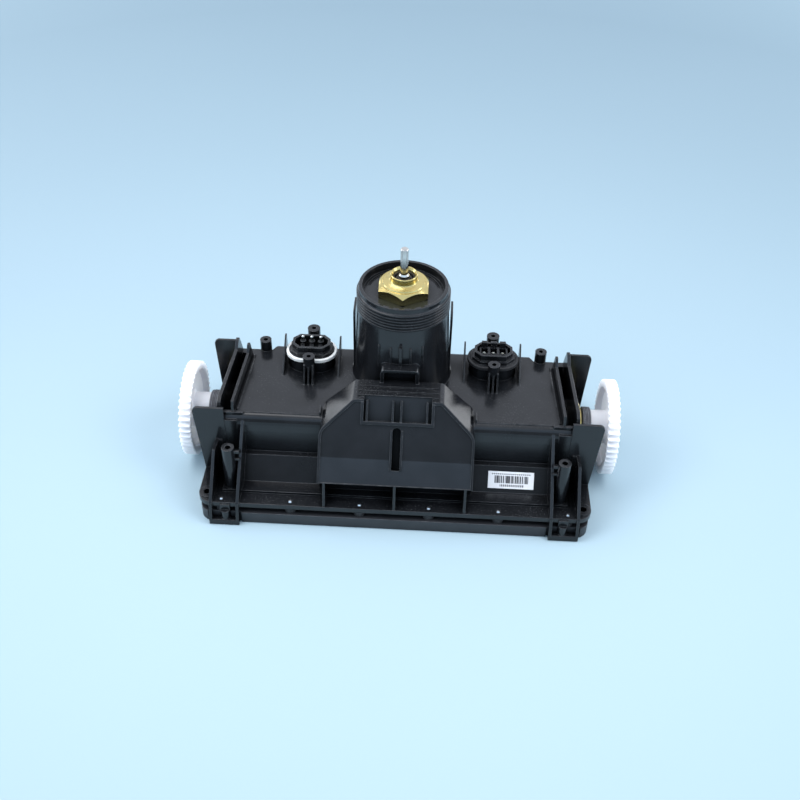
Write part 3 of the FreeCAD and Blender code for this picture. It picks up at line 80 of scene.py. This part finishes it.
class Shader:
    """A Principled material with short calls for the nodes that it is built from."""

    def __init__(self, name):
        self.material = bpy.data.materials.new(name)
        self.material.use_nodes = True
        self.tree = self.material.node_tree
        self.bsdf = self.tree.nodes["Principled BSDF"]
        self.place = self.add("ShaderNodeTexCoord").outputs["Object"]

    def add(self, kind, **settings):
        node = self.tree.nodes.new(kind)
        for key, value in settings.items():
            setattr(node, key, value)
        return node

    def feed(self, socket, value):
        """Links an output to the input, or writes a plain value into it."""
        if isinstance(value, bpy.types.NodeSocket):
            self.tree.links.new(value, socket)
        elif isinstance(value, tuple) and len(value) == 3 and socket.type == "RGBA":
            socket.default_value = (*value, 1.0)
        else:
            socket.default_value = value

    def set(self, **inputs):
        for key, value in inputs.items():
            self.feed(self.bsdf.inputs[key.replace("_", " ")], value)
        return self

    def math(self, operation, a, b=0.0, clamp=False):
        node = self.add("ShaderNodeMath", operation=operation, use_clamp=clamp)
        self.feed(node.inputs[0], a)
        self.feed(node.inputs[1], b)
        return node.outputs[0]

    def times(self, a, b, clamp=False):
        return self.math("MULTIPLY", a, b, clamp)

    def length(self, a, b):
        """The distance that two perpendicular steps make."""
        return self.math("SQRT", self.math("ADD", self.times(a, a), self.times(b, b)))

    def stretch(self, scale):
        """The object's coordinates scaled by three factors."""
        node = self.add("ShaderNodeMapping")
        self.feed(node.inputs["Vector"], self.place)
        node.inputs["Scale"].default_value = scale
        return node.outputs[0]

    def noise(self, scale, detail=3.0, roughness=0.55, vector=None):
        node = self.add("ShaderNodeTexNoise")
        self.feed(node.inputs["Vector"], vector or self.place)
        node.inputs["Scale"].default_value = scale
        node.inputs["Detail"].default_value = detail
        node.inputs["Roughness"].default_value = roughness
        return node.outputs["Fac"]

    def cells(self, scale, vector=None):
        node = self.add("ShaderNodeTexVoronoi")
        self.feed(node.inputs["Vector"], vector or self.place)
        node.inputs["Scale"].default_value = scale
        return node.outputs["Distance"]

    def bands(self, axis, scale, distortion=0.0):
        node = self.add("ShaderNodeTexWave", bands_direction=axis)
        self.feed(node.inputs["Vector"], self.place)
        node.inputs["Scale"].default_value = scale
        node.inputs["Distortion"].default_value = distortion
        return node.outputs["Fac"]

    def span(self, value, low, high, start=0.0, end=1.0):
        """Maps low..high of a value to start..end, held at both ends."""
        node = self.add("ShaderNodeMapRange")
        for index, number in enumerate((value, low, high, start, end)):
            self.feed(node.inputs[index], number)
        return node.outputs[0]

    def within(self, value, start, end):
        """One where the value lies between start and end."""
        above = self.math("GREATER_THAN", value, start)
        return self.times(above, self.math("LESS_THAN", value, end))

    def mix(self, factor, a, b):
        node = self.add("ShaderNodeMix", data_type="RGBA")
        self.feed(node.inputs["Factor"], factor)
        self.feed(node.inputs[6], a)
        self.feed(node.inputs[7], b)
        return node.outputs[2]

    def bump(self, height, distance, strength=1.0, under=None):
        node = self.add("ShaderNodeBump")
        self.feed(node.inputs["Height"], height)
        node.inputs["Distance"].default_value = distance
        node.inputs["Strength"].default_value = strength
        if under is not None:
            self.feed(node.inputs["Normal"], under)
        return node.outputs["Normal"]

    def soft_edges(self, radius, samples=6):
        """A normal that rounds sharp edges."""
        node = self.add("ShaderNodeBevel", samples=samples)
        node.inputs["Radius"].default_value = radius
        return node.outputs["Normal"]

    def edge_mask(self, radius, low=0.02, high=0.25):
        """One along the edges, where the rounded normal leaves the true one."""
        dot = self.add("ShaderNodeVectorMath", operation="DOT_PRODUCT")
        self.feed(dot.inputs[0], self.soft_edges(radius))
        self.feed(dot.inputs[1], self.add("ShaderNodeNewGeometry").outputs["True Normal"])
        return self.span(self.math("SUBTRACT", 1.0, dot.outputs["Value"]), low, high)

    def openness(self, reach, samples=8):
        """One on open surfaces, near zero deep in slots and narrow channels."""
        node = self.add("ShaderNodeAmbientOcclusion", samples=samples)
        node.inputs["Distance"].default_value = reach
        return self.span(node.outputs["AO"], 0.15, 0.7)

    def facing_up(self, low=0.7, high=0.98):
        parts = self.add("ShaderNodeSeparateXYZ")
        self.feed(parts.inputs[0], self.add("ShaderNodeNewGeometry").outputs["Normal"])
        return self.span(parts.outputs["Z"], low, high)

    def axis(self, letter):
        parts = self.add("ShaderNodeSeparateXYZ")
        self.feed(parts.inputs[0], self.place)
        return parts.outputs[letter]


# ---------------------------------------------------------------- materials

def moulded_plastic(name, dark, light, gloss=0.30, grain=0.00002, edge_wear_and_highlight=0.85, dust=0.25):
    """Moulded plastic: faint mottling, fine grain, smudges, edges paler from a painted highlight and
    a little scuffing, some dust on top, and painted shade with hardly any shine deep in slots and
    channels.
    """
    s = Shader(name)
    mottle = s.noise(55.0, 4.0)
    colour = s.mix(s.span(mottle, 0.35, 0.7), dark, light)
    # Paler edges: a painted highlight where rounded edges catch the light, with a little scuffing.
    edge = s.times(s.edge_mask(0.0007), s.span(s.noise(180.0), 0.3, 0.6), clamp=True)
    worn_and_lit_edge = tuple(3.5 * channel + 0.06 for channel in light)
    colour = s.mix(s.times(edge, edge_wear_and_highlight), colour, worn_and_lit_edge)
    specks = s.span(s.noise(900.0, 6.0, 0.7), 0.56, 0.75)
    dusty = s.times(s.times(specks, s.facing_up()), dust)
    colour = s.mix(dusty, colour, (0.16, 0.165, 0.17))
    smudge = s.span(s.noise(22.0, 5.0, 0.6), 0.35, 0.7, gloss, gloss + 0.13)
    rough = s.math("ADD", smudge, s.times(dusty, 0.5))
    fine = s.bump(s.noise(2600.0, 2.0), grain, 0.4, s.soft_edges(0.0009))
    flow = s.bump(s.noise(30.0, 1.0), 0.00012, 0.35, fine)
    # Painted shade: the colour falls to a third of the dark tone deep in slots and channels, and the
    # shine drops there too.
    open_to_light = s.openness(0.018)
    colour = s.mix(open_to_light, tuple(0.3 * channel for channel in dark), colour)
    shine = s.span(open_to_light, 0.0, 1.0, 0.06, 0.5)
    return s.set(Base_Color=colour, Roughness=rough, Normal=flow, IOR=1.5,
                 Specular_IOR_Level=shine).material


def white_acetal():
    """The wheels' milky plastic: faintly cloudy, greyer in patches along the teeth's edges."""
    s = Shader("white_acetal")
    cloud = s.noise(40.0, 4.0)
    colour = s.mix(s.span(cloud, 0.3, 0.7), (0.80, 0.79, 0.82), (0.87, 0.865, 0.89))
    # Greyer in noisy patches along the edges.
    grey_edge_patches = s.times(s.edge_mask(0.0008), s.span(s.noise(260.0), 0.5, 0.7), clamp=True)
    colour = s.mix(s.times(grey_edge_patches, 0.45), colour, (0.5, 0.5, 0.55))
    fine = s.bump(s.noise(1500.0, 3.0), 0.00002, 0.5, s.soft_edges(0.0006))
    rough = s.span(cloud, 0.3, 0.7, 0.34, 0.46)
    s.set(Base_Color=colour, Roughness=rough, Normal=fine, Subsurface_Weight=0.7,
          Subsurface_Scale=0.008)
    s.bsdf.inputs["Subsurface Radius"].default_value = (1.0, 0.95, 0.9)
    return s.material


def turned_metal(name, colour, tarnish, rough=0.2, centre=(0.0, 0.0), along="Z", pitch=0.0004,
                 ridge=0.000012):
    """Metal from a lathe: fine rings about its axis, tarnish in patches and bright edges."""
    s = Shader(name)
    first, second = {"Z": ("X", "Y"), "X": ("Y", "Z")}[along]
    a = s.math("SUBTRACT", s.axis(first), centre[0])
    b = s.math("SUBTRACT", s.axis(second), centre[1])
    travel = s.math("ADD", s.length(a, b), s.axis(along))
    rings = s.math("SINE", s.times(travel, 2 * math.pi / pitch))
    patch = s.span(s.noise(90.0, 2.0, 0.5), 0.5, 0.8)
    base = s.mix(patch, colour, tarnish)
    bright = tuple(min(1.0, 1.15 * channel) for channel in colour)
    base = s.mix(s.times(s.edge_mask(0.0005), 0.7), base, bright)
    ringed = s.bump(rings, ridge, 0.5, s.soft_edges(0.0004))
    scratched = s.bump(s.noise(900.0, 4.0, 0.7), 0.00001, 0.12, ringed)
    roughness = s.math("ADD", s.times(patch, 0.18), rough)
    return s.set(Base_Color=base, Metallic=1.0, Roughness=roughness, Normal=scratched).material


def drawn_metal(name, colour, stretch=(1.0, 1.0, 30.0), rough=0.3):
    """Sheet or ground metal with fine lines along one way."""
    s = Shader(name)
    lines = s.noise(400.0, 4.0, 0.6, s.stretch(stretch))
    shade = tuple(0.72 * channel for channel in colour)
    base = s.mix(s.span(lines, 0.35, 0.7), shade, colour)
    base = s.mix(s.times(s.edge_mask(0.0004), 0.6), base, (0.85, 0.85, 0.86))
    normal = s.bump(lines, 0.00002, 0.5, s.soft_edges(0.0003))
    roughness = s.span(lines, 0.3, 0.7, rough, rough + 0.15)
    return s.set(Base_Color=base, Metallic=1.0, Roughness=roughness, Normal=normal).material


def rough_solid(name, dark, light, rough=0.7, grain=700.0, depth=0.00006, metallic=0.0):
    """Rubber, ferrite, carbon or sintered metal: grainy and dull."""
    s = Shader(name)
    speckle = s.noise(grain, 5.0, 0.65)
    colour = s.mix(s.span(speckle, 0.35, 0.68), dark, light)
    colour = s.mix(s.times(s.edge_mask(0.0004), 0.3), colour,
                   tuple(2.0 * channel + 0.01 for channel in light))
    normal = s.bump(speckle, depth, 0.5, s.soft_edges(0.0004))
    roughness = s.span(s.noise(60.0), 0.35, 0.7, rough - 0.08, rough + 0.1)
    return s.set(Base_Color=colour, Metallic=metallic, Roughness=roughness, Normal=normal).material


def wound_copper():
    """Enamelled wire lying in rows."""
    s = Shader("wound_copper")
    rows = s.bands("DIAGONAL", 900.0, 1.5)
    colour = s.mix(s.span(rows, 0.2, 0.8), (0.30, 0.10, 0.04), (0.78, 0.38, 0.18))
    colour = s.mix(s.span(s.noise(200.0), 0.55, 0.75), colour, (0.45, 0.2, 0.08))
    normal = s.bump(rows, 0.0002, 0.7)
    return s.set(Base_Color=colour, Metallic=0.8, Roughness=0.3, Normal=normal).material


def solder_mask():
    """The board: green mask with darker tracks and small pads."""
    s = Shader("solder_mask")
    tracks = s.add("ShaderNodeTexBrick")
    s.feed(tracks.inputs["Vector"], s.stretch((1.0, 1.0, 0.0)))
    tracks.inputs["Scale"].default_value = 160.0
    tracks.inputs["Mortar Size"].default_value = 0.012
    green = s.mix(s.span(s.noise(90.0), 0.3, 0.7), (0.02, 0.12, 0.06), (0.03, 0.19, 0.09))
    colour = s.mix(tracks.outputs["Fac"], green, (0.06, 0.3, 0.15))
    pads = s.span(s.cells(260.0), 0.10, 0.16, 1.0, 0.0)
    colour = s.mix(pads, colour, (0.7, 0.66, 0.5))
    normal = s.bump(tracks.outputs["Fac"], 0.00004, 0.5)
    return s.set(Base_Color=colour, Metallic=s.times(pads, 0.8), Roughness=0.32,
                 Normal=normal).material


def sticker_bars(s, across, up):
    """Upright bars of uneven width in a block across the middle."""
    columns = s.add("ShaderNodeTexNoise", noise_dimensions="1D")
    s.feed(columns.inputs["W"], s.times(across, 46.0))
    columns.inputs["Scale"].default_value = 1.0
    columns.inputs["Detail"].default_value = 1.0
    block = s.times(s.within(across, 0.14, 0.88), s.within(up, 0.32, 0.76))
    return s.times(s.span(columns.outputs["Fac"], 0.44, 0.46), block)


def sticker_dashes(s, across, up):
    """Two rows of blank dashes, above and below the bars."""
    dash = s.math("GREATER_THAN", s.math("SINE", s.times(across, 150.0)), -0.35)
    upper = s.times(s.within(up, 0.82, 0.89), s.within(across, 0.07, 0.93))
    lower = s.times(s.within(up, 0.12, 0.25), s.within(across, 0.26, 0.78))
    return s.times(s.math("ADD", upper, lower), dash)


def printed_sticker():
    """White film with plain upright bars and two rows of blank dashes."""
    s = Shader("printed_sticker")
    low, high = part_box("identification_sticker")
    across = s.span(s.axis("X"), low.x, high.x)
    up = s.span(s.axis("Z"), low.z, high.z)
    ink = s.math("MAXIMUM", sticker_bars(s, across, up), sticker_dashes(s, across, up), clamp=True)
    film = s.mix(s.span(s.noise(120.0), 0.3, 0.7), (0.66, 0.66, 0.69), (0.74, 0.74, 0.76))
    colour = s.mix(s.times(ink, 0.97), film, (0.02, 0.02, 0.025))
    normal = s.bump(s.noise(300.0), 0.00003, 0.4)
    return s.set(Base_Color=colour, Roughness=0.38, Normal=normal).material


def material_table():
    """The record's material slots and the finish that each one gets."""
    return {
        "housing_plastic": moulded_plastic("housing_plastic", *BLACK, gloss=0.15),
        "cover_plastic": moulded_plastic("cover_plastic", (0.018, 0.019, 0.022),
                                         (0.027, 0.028, 0.032), gloss=0.38, grain=0.00004),
        "connector_plastic": moulded_plastic("connector_plastic", *BLACK, gloss=0.22),
        "inner_plastic": moulded_plastic("inner_plastic", (0.05, 0.052, 0.056),
                                         (0.085, 0.088, 0.094), gloss=0.42),
        "board_part_plastic": moulded_plastic("board_part_plastic", (0.02, 0.02, 0.022),
                                              (0.04, 0.04, 0.043), gloss=0.4),
        "sleeve_plastic": moulded_plastic("sleeve_plastic", (0.085, 0.088, 0.1), (0.13, 0.134, 0.15),
                                          gloss=0.4, dust=0.1),
        "wheel_plastic": white_acetal(),
        "board": solder_mask(),
        "gasket_rubber": rough_solid("gasket_rubber", (0.012, 0.012, 0.013), (0.03, 0.03, 0.032)),
        "seal_rubber": rough_solid("seal_rubber", (0.02, 0.018, 0.016), (0.045, 0.042, 0.038), 0.45),
        "light_gasket": rough_solid("light_gasket", (0.62, 0.63, 0.62), (0.74, 0.75, 0.74), 0.5,
                                    500.0, 0.00003),
        "brass": turned_metal("turned_brass", *BRASS, 0.2),
        "bronze": rough_solid("bronze", (0.35, 0.2, 0.08), (0.6, 0.4, 0.2), 0.4, metallic=0.9),
        "copper": wound_copper(),
        "contact_metal": turned_metal("contact_metal", (0.86, 0.85, 0.8), (0.7, 0.66, 0.55), 0.16,
                                      pitch=0.0002),
        "steel": turned_metal("screw_steel", (0.68, 0.69, 0.7), (0.45, 0.45, 0.45), 0.22),
        "shaft_steel": turned_metal("ground_shaft", (0.66, 0.63, 0.59), (0.50, 0.47, 0.44), 0.08,
                                    pitch=0.00025, ridge=0.000006),
        "gear_steel": drawn_metal("gear_steel", (0.55, 0.55, 0.57)),
        "motor_steel": drawn_metal("motor_steel", (0.6, 0.62, 0.63)),
        "core_steel": drawn_metal("core_steel", (0.4, 0.4, 0.42), (1.0, 1.0, 60.0), 0.4),
        "magnet": rough_solid("magnet", (0.03, 0.03, 0.032), (0.08, 0.08, 0.085), 0.6),
        "carbon": rough_solid("carbon", (0.015, 0.015, 0.016), (0.05, 0.05, 0.052), 0.5),
        "sticker_paper": printed_sticker(),
    }


def paint(obj, material):
    """Puts one material on every face of an object."""
    obj.data.materials.clear()
    obj.data.materials.append(material)


def smooth(obj, angle=32.0):
    """Shades curved walls smooth and keeps real edges sharp."""
    mesh = obj.data
    mesh.shade_smooth()
    mesh.set_sharp_from_angle(angle=math.radians(angle))


def finish_cad_nodes():
    """Gives each CAD node its finish; brass that turns about X has its rings about X."""
    table = material_table()
    side_brass = turned_metal("side_brass", *BRASS, 0.2, DRIVE_CENTRE, "X")
    for part in frame["record"]["subparts"]:
        obj = nodes[part["node"]]
        material = table[part["material_slot"]]
        if part["node"].startswith("drive_carrier"):
            material = side_brass
        paint(obj, material)
        smooth(obj)


# ---------------------------------------------------------------- stage

def make_camera():
    ahead = Vector((math.sin(CAMERA_YAW) * math.cos(CAMERA_PITCH),
                    math.cos(CAMERA_YAW) * math.cos(CAMERA_PITCH), -math.sin(CAMERA_PITCH)))
    right = Vector((math.cos(CAMERA_YAW), -math.sin(CAMERA_YAW), 0.0))
    up = right.cross(ahead)
    rolled_right = math.cos(CAMERA_ROLL) * right + math.sin(CAMERA_ROLL) * up
    rolled_up = math.cos(CAMERA_ROLL) * up - math.sin(CAMERA_ROLL) * right
    turn = Matrix((rolled_right, rolled_up, -ahead)).transposed()
    data = bpy.data.cameras.new("camera")
    data.lens = CAMERA_LENS
    camera = bpy.data.objects.new("camera", data)
    camera.matrix_world = Matrix.Translation(CAMERA_PLACE) @ turn.to_4x4()
    bpy.context.scene.collection.objects.link(camera)
    bpy.context.scene.camera = camera


def area_light(name, place, aim, size, power, mirrored=True):
    """A rectangular softbox; one that isn't mirrored lights surfaces but shows in no gloss."""
    data = bpy.data.lights.new(name, "AREA")
    data.shape = "RECTANGLE"
    data.size, data.size_y = size
    data.energy = power
    lamp = bpy.data.objects.new(name, data)
    lamp.location = place
    lamp.rotation_mode = "QUATERNION"
    lamp.rotation_quaternion = (Vector(aim) - Vector(place)).to_track_quat("-Z", "Y")
    lamp.visible_glossy = mirrored
    bpy.context.scene.collection.objects.link(lamp)


def make_lights():
    for name, place, size, power in SOFTBOXES:
        area_light(name, place, LIGHT_TARGET, size, power)
    for side in (-1, 1):
        for name, place, target, size, power in FILLS:
            place = (side * place[0], *place[1:])
            target = (side * target[0], *target[1:])
            area_light(name, place, target, size, power, mirrored=False)


def make_world():
    """The surround: white above and behind, blue in front, dim low down, plain to the camera."""
    world = bpy.data.worlds.new("studio")
    world.use_nodes = True
    tree = world.node_tree
    towards = tree.nodes.new("ShaderNodeTexCoord")
    slant = tree.nodes.new("ShaderNodeVectorMath")
    slant.operation = "DOT_PRODUCT"
    slant.inputs[1].default_value = SURROUND_SLANT
    tree.links.new(towards.outputs["Generated"], slant.inputs[0])
    shift = tree.nodes.new("ShaderNodeMath")
    shift.inputs[1].default_value = 0.5
    tree.links.new(slant.outputs["Value"], shift.inputs[0])
    ramp = tree.nodes.new("ShaderNodeValToRGB")
    stops = ramp.color_ramp.elements
    lowest, *between, highest = SURROUND
    for stop, (position, colour) in ((stops[0], lowest), (stops[1], highest)):
        stop.position = position
        stop.color = (*colour, 1.0)
    for position, colour in between:
        stops.new(position).color = (*colour, 1.0)
    tree.links.new(shift.outputs[0], ramp.inputs["Fac"])
    path = tree.nodes.new("ShaderNodeLightPath")
    seen = tree.nodes.new("ShaderNodeMix")
    seen.data_type = "RGBA"
    seen.inputs[7].default_value = (*BACKDROP, 1.0)
    tree.links.new(path.outputs["Is Camera Ray"], seen.inputs["Factor"])
    tree.links.new(ramp.outputs["Color"], seen.inputs[6])
    tree.links.new(seen.outputs[2], tree.nodes["Background"].inputs["Color"])
    bpy.context.scene.world = world
    bpy.context.scene.view_settings.view_transform = "Standard"


def make_floor():
    """A wide pale floor, faintly uneven, that turns into the backdrop's tone far away."""
    mesh = bpy.data.meshes.new("floor")
    corners = [(x * FLOOR_REACH, y * FLOOR_REACH, 0) for x, y in ((-1, -1), (1, -1), (1, 1), (-1, 1))]
    mesh.from_pydata(corners, [], [(0, 1, 2, 3)])
    floor = bpy.data.objects.new("floor", mesh)
    bpy.context.scene.collection.objects.link(floor)
    s = Shader("pale_floor")
    colour = s.mix(s.noise(1.5, 2.0), (0.30, 0.40, 0.455), (0.32, 0.42, 0.475))
    far = s.span(s.length(s.axis("X"), s.axis("Y")), *FLOOR_FADE)
    s.set(Base_Color=s.mix(far, colour, UNLIT), Roughness=0.8, Specular_IOR_Level=0.1,
          Emission_Color=BACKDROP, Emission_Strength=far)
    floor.data.materials.append(s.material)
    floor.location.z = -FLOOR_DROP


finish_cad_nodes()
make_floor()
make_lights()
make_world()
make_camera()
